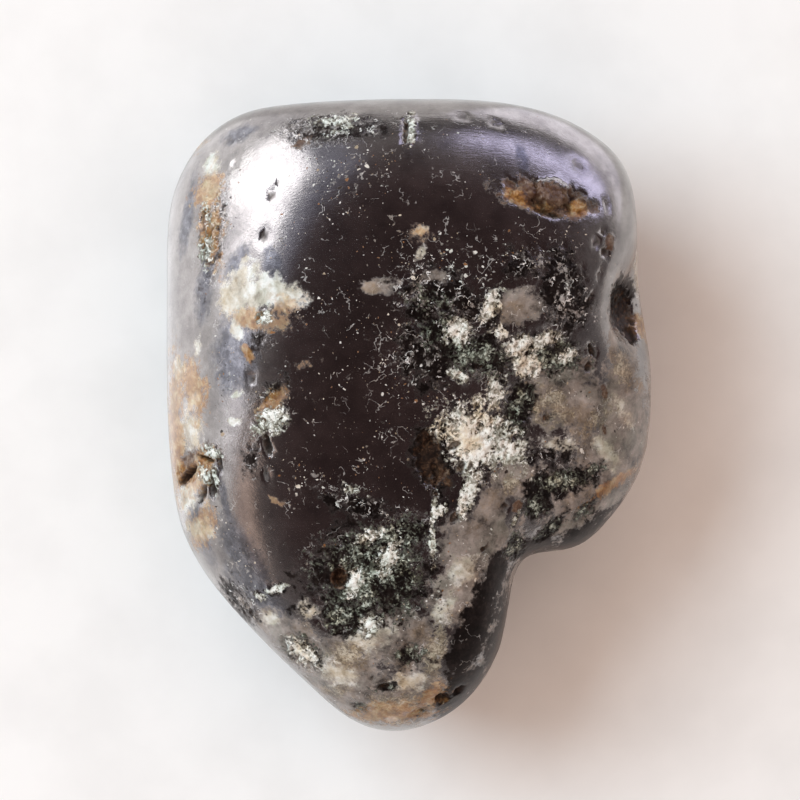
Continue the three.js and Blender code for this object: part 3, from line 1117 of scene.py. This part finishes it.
@dataclass
class StoneMaterial:
    """One shader for the whole stone, layered by the mineral attributes.

    Sizes are in millimetres. A detail is how many finer layers a noise has, and its roughness how strong
    they are. A pair named gain says how much an attribute adds to a tone and at what value it adds nothing,
    and one named range says where an effect starts and where it is full. Crowding is what the broad noise
    is multiplied by to bunch the specks, and what is then added. A stretch is how many scratches there are
    to a millimetre along and across, and their turns are in degrees and their tilt in radians.
    """

    ior: float = 1.54
    rim_sizes: tuple[float, ...] = (1.3, 0.38, 0.13)
    soft_detail: float = 2.0
    noise_roughness: float = 0.6
    bend: float = 0.3
    tone_detail: float = 7.0
    tone_roughness: float = 0.7
    grain_share: float = 0.28
    height_shade_gain: tuple[float, float] = (0.3, 0.5)
    field_gain: tuple[float, float] = (0.2, 0.85)
    gap_softness: float = 0.04
    thread_width: float = 0.0065
    thread_range: tuple[float, float] = (0.5, 0.58)
    speck_sizes: tuple[float, ...] = (0.34, 0.2, 0.13)
    speck_crowding: tuple[float, float] = (3.0, -1.1)
    speck_range: tuple[float, float] = (0.72, 1.6)
    speck_radius: float = 0.28
    speck_edge: float = 0.06
    speck_roughness: float = 0.5
    # Where the dark dust and painted shade start and are full with a hollow's depth, and how much they
    # cover.
    dust_shade_range: tuple[float, float] = (0.08, 0.55)
    dust_shade_cover: float = 0.85
    grit_size: float = 0.1
    grit_detail: float = 3.0
    polished_grit: float = 0.04
    scratch_turns: tuple[float, ...] = (12.0, 78.0, 128.0)
    scratch_tilt: tuple[float, float] = (0.3, 0.2)
    scratch_stretch: tuple[float, float, float] = (0.6, 14.0, 14.0)
    scratch_roughness: float = 0.7
    scratch_depth: float = 0.075
    bump_strength: float = 0.7
    bump_depth: float = 0.06
    tree: bpy.types.NodeTree = field(init=False)
    place: bpy.types.NodeSocket = field(init=False)
    bent: bpy.types.NodeSocket = field(init=False)
    rims: list[list[bpy.types.NodeSocket]] = field(init=False)
    shares: dict[str, bpy.types.NodeSocket] = field(init=False)

    def make(self) -> bpy.types.Material:
        """Builds the material.

        Returns:
            The finished material.
        """
        material = bpy.data.materials.new("polished_magnetite")
        material.use_nodes = True
        self.tree = material.node_tree
        self.tree.nodes.clear()
        self.start()
        ore = self.colour(self.tone(None, MAGNETITE), MAGNETITE)
        skin = Skin(ore, MAGNETITE.roughness, MAGNETITE.metallic)
        for mineral, finish in FINISHES.items():
            skin = self.lay(skin, mineral, finish)
            if mineral is Mineral.CREAM:
                for channel, size in enumerate(self.speck_sizes):
                    skin = self.speckle(skin, size, channel)
        skin = self.fill_hollows_with_dust_and_shade(self.tinge(skin))
        inputs = {
            "Base Color": skin.colour,
            "Roughness": skin.roughness,
            "Metallic": skin.metallic,
            "IOR": self.ior,
            "Normal": self.bump(),
        }
        shader = add_node(self.tree, "ShaderNodeBsdfPrincipled", inputs=inputs)
        add_node(self.tree, "ShaderNodeOutputMaterial", inputs={"Surface": shader.outputs["BSDF"]})
        return material

    def start(self) -> None:
        """Lays out the coordinates in millimetres, the noise that minerals share, and the attributes."""
        coords = add_node(self.tree, "ShaderNodeTexCoord")
        in_mm = {"Vector": coords.outputs["Object"], "Scale": (1.0 / MM,) * 3}
        self.place = add_node(self.tree, "ShaderNodeMapping", inputs=in_mm).outputs["Vector"]
        layers = {"Vector": self.place, "Detail": self.soft_detail, "Roughness": self.noise_roughness}
        colours = []
        self.rims = []
        for size in self.rim_sizes:
            noises = add_node(self.tree, "ShaderNodeTexNoise", inputs={**layers, "Scale": 1.0 / size})
            colours.append(noises.outputs["Color"])
            parts = add_node(self.tree, "ShaderNodeSeparateColor", inputs={"Color": colours[-1]})
            self.rims.append(list(parts.outputs))
        centred = {0: colours[1], 1: (NOISE_MIDDLE,) * 3}
        push = add_node(self.tree, "ShaderNodeVectorMath", {"operation": "SUBTRACT"}, centred).outputs[0]
        pushed = {0: push, 1: (self.bend,) * 3, 2: self.place}
        bends = add_node(self.tree, "ShaderNodeVectorMath", {"operation": "MULTIPLY_ADD"}, pushed)
        self.bent = bends.outputs[0]
        self.shares = {}
        for name in (*(mineral.value for mineral in Mineral if mineral is not Mineral.LUMP), GRAIN_SHADE_LAYER):
            settings = {"attribute_name": name, "attribute_type": "GEOMETRY"}
            self.shares[name] = add_node(self.tree, "ShaderNodeAttribute", settings).outputs["Fac"]

    def mask(self, mineral: Mineral, finish: Finish) -> bpy.types.NodeSocket:
        """Finds where a mineral shows, with a rim as ragged and as soft as its finish says.

        Args:
            mineral: Which mineral's attribute to read.
            finish: The mineral's finish.

        Returns:
            The mineral's cover, from 0 to 1.
        """
        level = self.shares[mineral.value]
        for parts, push in zip(self.rims, finish.ragged):
            centred = {0: parts[mineral.order % len(parts)], 1: push, 2: -push * NOISE_MIDDLE}
            shift = add_node(self.tree, "ShaderNodeMath", {"operation": "MULTIPLY_ADD"}, centred).outputs[0]
            pair = {0: level, 1: shift}
            level = add_node(self.tree, "ShaderNodeMath", {"operation": "ADD"}, pair).outputs[0]
        inputs = {
            "Value": level,
            "From Min": RIM_NEARNESS - finish.soft,
            "From Max": RIM_NEARNESS + finish.soft,
            "To Max": finish.cover,
        }
        smooth = {"interpolation_type": "SMOOTHSTEP"}
        return add_node(self.tree, "ShaderNodeMapRange", smooth, inputs).outputs["Result"]

    def tone(self, mineral: Mineral | None, finish: Finish) -> bpy.types.NodeSocket:
        """Draws how pale each point of a mineral is.

        Args:
            mineral: Which mineral it is, or nothing where the finish has no grains.
            finish: The mineral's finish.

        Returns:
            The tone, from 0 to 1. Grains are paler in the middle of their patch, and paler where they stand
            out and darker where they sink, which is painted shade between the grains.
        """
        layers = {"Detail": self.tone_detail, "Roughness": self.tone_roughness}
        places = {"Vector": self.bent, "Scale": 1.0 / finish.size}
        lumps = add_node(self.tree, "ShaderNodeTexNoise", inputs={**places, **layers}).outputs["Fac"]
        if finish.pattern is Pattern.CLOUDS:
            return lumps
        places = {"Vector": self.bent, "Scale": 1.0 / finish.grain}
        cells = add_node(self.tree, "ShaderNodeTexVoronoi", inputs=places)
        picks = add_node(self.tree, "ShaderNodeSeparateColor", inputs={"Color": cells.outputs["Color"]})
        pair = {"Factor": self.grain_share, NUMBER_A: lumps, NUMBER_B: picks.outputs[0]}
        mixed = add_node(self.tree, "ShaderNodeMix", inputs=pair).outputs[NUMBER_OUT]
        # Low grains are darkened and high ones lightened: painted shade between the grains.
        for name, (gain, middle) in ((GRAIN_SHADE_LAYER, self.height_shade_gain), (mineral.value, self.field_gain)):
            scaled = {0: self.shares[name], 1: gain, 2: -gain * middle}
            raised = add_node(self.tree, "ShaderNodeMath", {"operation": "MULTIPLY_ADD"}, scaled).outputs[0]
            pair = {0: mixed, 1: raised}
            mixed = add_node(self.tree, "ShaderNodeMath", {"operation": "ADD"}, pair).outputs[0]
        if finish.pattern is Pattern.GRAINS:
            return mixed
        pair = {0: mixed, 1: self.threads(finish.size)}
        return add_node(self.tree, "ShaderNodeMath", {"operation": "MAXIMUM"}, pair).outputs[0]

    def threads(self, size: float) -> bpy.types.NodeSocket:
        """Draws thin broken lines, where soft noise crosses its middle.

        Args:
            size: How far apart the lines run, in millimetres.

        Returns:
            A number near 1 on a line and 0 between them.
        """
        places = {"Vector": self.bent, "Scale": 1.0 / size, "Detail": self.soft_detail}
        folds = add_node(self.tree, "ShaderNodeTexNoise", inputs=places).outputs["Color"]
        parts = add_node(self.tree, "ShaderNodeSeparateColor", inputs={"Color": folds})
        crossing = {0: parts.outputs[0], 1: NOISE_MIDDLE, 2: self.thread_width / size}
        lines = add_node(self.tree, "ShaderNodeMath", {"operation": "COMPARE"}, crossing).outputs[0]
        low, high = self.thread_range
        inputs = {"Value": parts.outputs[1], "From Min": low, "From Max": high}
        breaks = add_node(self.tree, "ShaderNodeMapRange", inputs=inputs).outputs["Result"]
        pair = {0: lines, 1: breaks}
        return add_node(self.tree, "ShaderNodeMath", {"operation": "MULTIPLY"}, pair).outputs[0]

    def colour(self, tone: bpy.types.NodeSocket, finish: Finish) -> bpy.types.NodeSocket:
        """Turns a tone into the finish's colour.

        Args:
            tone: How pale each point is.
            finish: The finish.

        Returns:
            The colour.
        """
        stops = tuple((place, linear(shade)) for place, shade in zip(finish.stops, finish.colours))
        return add_node(self.tree, "ShaderNodeValToRGB", inputs={"Fac": tone}, stops=stops).outputs["Color"]

    def lay(self, skin: Skin, mineral: Mineral, finish: Finish) -> Skin:
        """Lays one mineral over what is there. Between its grains or threads, what is there shows through.

        Args:
            skin: What is there.
            mineral: The mineral.
            finish: Its finish.

        Returns:
            The skin with the mineral in it.
        """
        tone = self.tone(mineral, finish)
        share = self.mask(mineral, finish)
        if finish.pattern is not Pattern.CLOUDS:
            low = finish.stops[0]
            gaps = {"Value": tone, "From Min": low - self.gap_softness, "From Max": low + self.gap_softness}
            solid = add_node(self.tree, "ShaderNodeMapRange", inputs=gaps).outputs["Result"]
            pair = {0: share, 1: solid}
            share = add_node(self.tree, "ShaderNodeMath", {"operation": "MULTIPLY"}, pair).outputs[0]
        upper = Skin(self.colour(tone, finish), finish.roughness, finish.metallic)
        return self.cover(skin, upper, share)

    def cover(self, under: Skin, upper: Skin, share: bpy.types.NodeSocket) -> Skin:
        """Covers one skin with another.

        Args:
            under: What is there.
            upper: What covers it.
            share: How much of it is covered, from 0 to 1.

        Returns:
            The two skins mixed.
        """
        pair = {"Factor": share, COLOUR_A: under.colour, COLOUR_B: upper.colour}
        colour = add_node(self.tree, "ShaderNodeMix", {"data_type": "RGBA"}, pair).outputs[COLOUR_OUT]
        plain = []
        for below, above in ((under.roughness, upper.roughness), (under.metallic, upper.metallic)):
            pair = {"Factor": share, NUMBER_A: below, NUMBER_B: above}
            plain.append(add_node(self.tree, "ShaderNodeMix", inputs=pair).outputs[NUMBER_OUT])
        return Skin(colour, *plain)

    def speckle(self, skin: Skin, size: float, channel: int) -> Skin:
        """Sets small pale and rusty grains in the polished ore, and dark pits that are painted shade.

        Args:
            skin: The skin under the grains.
            size: How far apart the grains are, in millimetres.
            channel: Which part of the broad noise bunches them, so that no two sizes bunch alike.

        Returns:
            The skin with the grains in it.
        """
        places = {"Vector": self.bent, "Scale": 1.0 / size}
        cells = add_node(self.tree, "ShaderNodeTexVoronoi", inputs=places)
        picks = add_node(self.tree, "ShaderNodeSeparateColor", inputs={"Color": cells.outputs["Color"]})
        gain, offset = self.speck_crowding
        crowding = {0: self.rims[0][channel], 1: gain, 2: offset}
        bunched = add_node(self.tree, "ShaderNodeMath", {"operation": "MULTIPLY_ADD"}, crowding).outputs[0]
        pair = {0: self.shares[Mineral.SPECKS.value], 1: bunched, 2: picks.outputs[0]}
        chance = add_node(self.tree, "ShaderNodeMath", {"operation": "MULTIPLY_ADD"}, pair).outputs[0]
        low, high = self.speck_range
        grown = {"Value": chance, "From Min": low, "From Max": high, "To Max": self.speck_radius}
        radius = add_node(self.tree, "ShaderNodeMapRange", inputs=grown).outputs["Result"]
        gap = {0: radius, 1: cells.outputs["Distance"]}
        inside = add_node(self.tree, "ShaderNodeMath", {"operation": "SUBTRACT"}, gap).outputs[0]
        rim = {"Value": inside, "From Max": self.speck_edge}
        share = add_node(self.tree, "ShaderNodeMapRange", inputs=rim).outputs["Result"]
        stops = tuple((place, linear(colour)) for place, colour in SPECK_AND_PIT_SHADE_COLOURS)
        kinds = add_node(self.tree, "ShaderNodeValToRGB", inputs={"Fac": picks.outputs[1]}, stops=stops)
        kinds.color_ramp.interpolation = "CONSTANT"
        return self.cover(skin, Skin(kinds.outputs["Color"], self.speck_roughness, 0.0), share)

    def tinge(self, skin: Skin) -> Skin:
        """Tinges whatever is not metal.

        Args:
            skin: The skin to tinge.

        Returns:
            The tinged skin.
        """
        matt = {0: 1.0, 1: skin.metallic}
        share = add_node(self.tree, "ShaderNodeMath", {"operation": "SUBTRACT"}, matt).outputs[0]
        tint = self.colour(self.tone(None, TINGE), TINGE)
        pair = {"Factor": share, COLOUR_A: skin.colour, COLOUR_B: tint}
        mix = {"data_type": "RGBA", "blend_type": "MULTIPLY"}
        tinged = add_node(self.tree, "ShaderNodeMix", mix, pair).outputs[COLOUR_OUT]
        return Skin(tinged, skin.roughness, skin.metallic)

    def fill_hollows_with_dust_and_shade(self, skin: Skin) -> Skin:
        """Fills the bottoms of the hollows with brown dust and fibres, thicker the deeper they are: partly
        real dust and partly painted shade.

        Args:
            skin: The skin to darken.

        Returns:
            The skin with dust and painted shade in its hollows.
        """
        low, high = self.dust_shade_range
        depth = self.shares[Mineral.HOLLOW.value]
        filled = {"Value": depth, "From Min": low, "From Max": high, "To Max": self.dust_shade_cover}
        share = add_node(self.tree, "ShaderNodeMapRange", inputs=filled).outputs["Result"]
        shaded_dust = Skin(self.colour(self.tone(None, DUST_AND_SHADE), DUST_AND_SHADE), DUST_AND_SHADE.roughness, DUST_AND_SHADE.metallic)
        return self.cover(skin, shaded_dust, share)

    def bump(self) -> bpy.types.NodeSocket:
        """Adds the grit that is too fine for the mesh, and the tumbler's fine scratches.

        Returns:
            The bumped normal.
        """
        layers = {"Detail": self.grit_detail, "Roughness": self.noise_roughness}
        places = {"Vector": self.place, "Scale": 1.0 / self.grit_size}
        grit = add_node(self.tree, "ShaderNodeTexNoise", inputs={**places, **layers}).outputs["Fac"]
        rough: Any = self.polished_grit
        for mineral in (Mineral.CHLORITE, Mineral.CRYSTAL, Mineral.DRUSE, Mineral.RUST, Mineral.HOLLOW):
            pair = {0: rough, 1: self.shares[mineral.value]}
            rough = add_node(self.tree, "ShaderNodeMath", {"operation": "MAXIMUM"}, pair).outputs[0]
        pair = {0: grit, 1: rough}
        height = add_node(self.tree, "ShaderNodeMath", {"operation": "MULTIPLY"}, pair).outputs[0]
        for turn in self.scratch_turns:
            scored = {0: self.scratches(math.radians(turn)), 1: self.scratch_depth, 2: height}
            height = add_node(self.tree, "ShaderNodeMath", {"operation": "MULTIPLY_ADD"}, scored).outputs[0]
        raised = {"Height": height, "Strength": self.bump_strength, "Distance": self.bump_depth * MM}
        return add_node(self.tree, "ShaderNodeBump", inputs=raised).outputs["Normal"]

    def scratches(self, turn: float) -> bpy.types.NodeSocket:
        """Draws fine straight scratches that run one way, as coarse as they need to be to show.

        Args:
            turn: Which way they run, in radians.

        Returns:
            Their height, around 0.5.
        """
        aim = {"Rotation": (*self.scratch_tilt, turn), "Scale": self.scratch_stretch}
        streaks = add_node(self.tree, "ShaderNodeMapping", inputs={"Vector": self.place, **aim})
        places = {"Vector": streaks.outputs["Vector"], "Scale": 1.0}
        layers = {"Detail": self.soft_detail, "Roughness": self.scratch_roughness}
        return add_node(self.tree, "ShaderNodeTexNoise", inputs={**places, **layers}).outputs["Fac"]


# ---------------------------------------------------------------- studio


@dataclass(frozen=True)
class Softbox:
    """One soft light: where it hangs, in degrees, its width and height, and how bright it looks.

    Its size, and how far away it hangs, are in millimetres. It may fill the matt surfaces, shine in the
    polished ones, or both.
    """

    name: str
    heading: float
    rise: float
    size: tuple[float, float]
    radiance: float
    tint: str
    fills: bool = True
    shines: bool = True
    away: float = 400.0


SOFTBOXES = (
    Softbox("key", 143.0, 12.5, (240.0, 178.0), 4.15, "#fbfcff", fills=False),
    Softbox("sky beside the key", 138.0, 24.0, (400.0, 250.0), 0.42, "#bccaec", fills=False, away=420.0),
    Softbox("low wall", 175.0, 4.0, (210.0, 84.0), 2.6, "#f4f4fb", fills=False),
    Softbox("warm wall", 203.0, 13.0, (140.0, 130.0), 0.75, "#ffdcc8", fills=False),
    Softbox("window", 54.0, 13.0, (350.0, 115.0), 2.65, "#d9d8ff", fills=False),
    Softbox("daylight", 153.0, 48.0, (560.0, 560.0), 5.85, "#d6f1ff", shines=False, away=800.0),
    Softbox("ceiling", 0.0, 90.0, (900.0, 900.0), 0.97, "#ffe6d5", shines=False),
)


@dataclass(frozen=True)
class FloorGlow:
    """Light that the floor throws back and the polished flanks show: its middle and size in millimetres."""

    name: str
    middle: tuple[float, float]
    size: tuple[float, float]
    radiance: float
    tint: str


FLOOR_GLOWS = (
    FloorGlow("glow by the left flank", (-31.0, 27.0), (38.0, 66.0), 0.62, "#f6f8ff"),
    FloorGlow("glow by the heel", (-17.0, -14.0), (14.0, 14.0), 0.22, "#fafbff"),
    FloorGlow("glow by the right corner", (41.5, 42.0), (71.0, 44.0), 1.0, "#e9e8fb"),
)

# The walls from the floor up: the height, how bright they are there, and how much of it is green and blue.
WALL_LEVELS = ((0.0, 0.42, 0.92), (0.2, 0.27, 0.9), (0.5, 0.15, 0.8), (0.7, 0.066, 0.5), (1.0, 0.03, 0.28))


@dataclass
class Studio:
    """The floor, the soft lights and the camera, looking straight down.

    Lengths are in millimetres and the flag's heading is in degrees. The field is what the camera sees at
    about the stone's waist, and cloud_range is where the noise in the floor starts to show and is full.
    """

    view_middle: tuple[float, float] = (-0.35, 0.68)
    field_width: float = 32.86
    waist: float = 8.5
    lens: float = 300.0
    sensor: float = 36.0
    nearest_view: float = 10.0
    farthest_view: float = 10000.0
    glow_height: float = 0.2
    flag_size: tuple[float, float] = (110.0, 26.0)
    flag_heading: float = 88.0
    flag_away: float = 85.0
    flag_colour: str = "#6f6c6c"
    floor_half: float = 900.0
    floor_colours: tuple[str, str] = ("#f5f4f3", "#efeeed")
    floor_cloud: float = 5.0
    cloud_detail: float = 4.0
    cloud_range: tuple[float, float] = (0.42, 0.66)
    matt_roughness: float = 0.7
    matt_ior: float = 1.3

    def eye(self) -> Vector:
        """Gives where the camera stands, in millimetres."""
        away = self.field_width * self.lens / self.sensor
        return Vector((*self.view_middle, self.waist + away))

    def camera(self) -> None:
        """Puts the camera above the stone."""
        data = bpy.data.cameras.new("camera")
        data.lens = self.lens
        data.sensor_width = self.sensor
        data.clip_start = self.nearest_view * MM
        data.clip_end = self.farthest_view * MM
        camera = bpy.data.objects.new("camera", data)
        camera.location = self.eye() * MM
        bpy.context.scene.collection.objects.link(camera)
        bpy.context.scene.camera = camera

    def sheet(self, name: str, half_size: tuple[float, float]) -> bpy.types.Object:
        """Makes a flat sheet that faces up, for the studio.

        Args:
            name: The object's name.
            half_size: Half its width and half its depth, in millimetres.

        Returns:
            The sheet, at the origin.
        """
        shape = bmesh.new()
        bmesh.ops.create_grid(shape, x_segments=1, y_segments=1, size=MM)
        bmesh.ops.scale(shape, vec=(*half_size, 1.0), verts=shape.verts)
        mesh = bpy.data.meshes.new(name)
        shape.to_mesh(mesh)
        shape.free()
        sheet = bpy.data.objects.new(name, mesh)
        bpy.context.scene.collection.objects.link(sheet)
        return sheet

    def floor(self) -> None:
        """Lays a pale matt floor with faint clouds in it."""
        floor = self.sheet("floor", (self.floor_half, self.floor_half))
        floor.data.materials.append(self.matt("pale_floor", *self.floor_colours))

    def flag(self) -> None:
        """Stands a grey card behind the square end, which only the polished ore sees."""
        wide, high = self.flag_size
        flag = self.sheet("flag", (wide / 2.0, high / 2.0))
        away = heading(math.radians(self.flag_heading), 0.0)
        flag.location = (away * self.flag_away + Vector((0.0, 0.0, high / 2.0))) * MM
        flag.rotation_euler = away.to_track_quat("Z", "Y").to_euler()
        flag.visible_camera = False
        flag.visible_diffuse = False
        flag.visible_shadow = False
        flag.data.materials.append(self.matt("grey_card", self.flag_colour))

    def matt(self, name: str, colour: str, clouds_colour: str | None = None) -> bpy.types.Material:
        """Makes a matt material for the studio.

        Args:
            name: The material's name.
            colour: Its colour.
            clouds_colour: The colour of the faint clouds in it, if it has any.

        Returns:
            The finished material.
        """
        material = bpy.data.materials.new(name)
        material.use_nodes = True
        tree = material.node_tree
        tree.nodes.clear()
        coords = add_node(tree, "ShaderNodeTexCoord").outputs["Object"]
        places = {"Vector": coords, "Scale": 1.0 / (self.floor_cloud * MM), "Detail": self.cloud_detail}
        cloud = add_node(tree, "ShaderNodeTexNoise", inputs=places).outputs["Fac"]
        low, high = self.cloud_range
        shown = {"Value": cloud, "From Min": low, "From Max": high}
        share = add_node(tree, "ShaderNodeMapRange", inputs=shown).outputs["Result"]
        pair = {"Factor": share, COLOUR_A: linear(colour), COLOUR_B: linear(clouds_colour or colour)}
        mixed = add_node(tree, "ShaderNodeMix", {"data_type": "RGBA"}, pair).outputs[COLOUR_OUT]
        inputs = {"Base Color": mixed, "Roughness": self.matt_roughness, "IOR": self.matt_ior}
        shader = add_node(tree, "ShaderNodeBsdfPrincipled", inputs=inputs)
        add_node(tree, "ShaderNodeOutputMaterial", inputs={"Surface": shader.outputs["BSDF"]})
        return material

    def lamp(self, box: Softbox | FloorGlow, place: Vector, away: Vector) -> bpy.types.Object:
        """Makes one soft light.

        Args:
            box: Its size, brightness and tint.
            place: Where it hangs, in millimetres.
            away: The direction from what it lights to the light.

        Returns:
            The light, which the camera doesn't see.
        """
        data = bpy.data.lights.new(box.name, "AREA")
        data.shape = "RECTANGLE"
        data.size, data.size_y = (side * MM for side in box.size)
        data.energy = box.radiance * math.pi * data.size * data.size_y
        data.color = linear(box.tint)[:3]
        light = bpy.data.objects.new(box.name, data)
        light.location = place * MM
        light.rotation_euler = away.to_track_quat("Z", "Y").to_euler()
        light.visible_camera = False
        bpy.context.scene.collection.objects.link(light)
        return light

    def hang(self, box: Softbox) -> None:
        """Hangs one soft light aimed at the stone.

        Args:
            box: The light.
        """
        away = heading(math.radians(box.heading), math.radians(box.rise))
        light = self.lamp(box, away * box.away, away)
        light.visible_diffuse = box.fills
        light.visible_glossy = box.shines

    def glow(self, box: FloorGlow) -> None:
        """Lays one glow on the floor, facing up."""
        light = self.lamp(box, Vector((*box.middle, self.glow_height)), Vector((0.0, 0.0, -1.0)))
        light.visible_diffuse = False

    def room(self) -> None:
        """Makes the room: pale and warm near the floor, and dark overhead."""
        world = bpy.data.worlds.new("room")
        world.use_nodes = True
        tree = world.node_tree
        tree.nodes.clear()
        coords = add_node(tree, "ShaderNodeTexCoord")
        parts = add_node(tree, "ShaderNodeSeparateXYZ", inputs={"Vector": coords.outputs["Generated"]})
        stops = tuple((place, (red, cool * red, cool * red, 1.0)) for place, red, cool in WALL_LEVELS)
        walls = add_node(tree, "ShaderNodeValToRGB", inputs={"Fac": parts.outputs["Z"]}, stops=stops)
        back = add_node(tree, "ShaderNodeBackground", inputs={"Color": walls.outputs["Color"]})
        add_node(tree, "ShaderNodeOutputWorld", inputs={"Surface": back.outputs["Background"]})
        bpy.context.scene.world = world

    def build(self) -> None:
        """Builds the whole studio."""
        bpy.context.scene.view_settings.view_transform = "Standard"
        self.camera()
        self.floor()
        self.room()
        self.flag()
        for box in SOFTBOXES:
            self.hang(box)
            log.info("light: %s", box.name)
        for box in FLOOR_GLOWS:
            self.glow(box)
            log.info("glow: %s", box.name)


def main() -> None:
    """Builds the stone and the studio, and notes the sizes."""
    logging.basicConfig(level=logging.INFO, format="%(name)s: %(message)s")
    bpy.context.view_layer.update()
    studio = Studio()
    studio.build()
    stone = StoneSurface(studio.eye()).build()
    stone.data.materials.append(StoneMaterial().make())
    log.info("stone: %d triangles", len(stone.data.polygons))
    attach(stone, BODY)
    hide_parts(NODE)


if __name__ == "__main__":
    main()
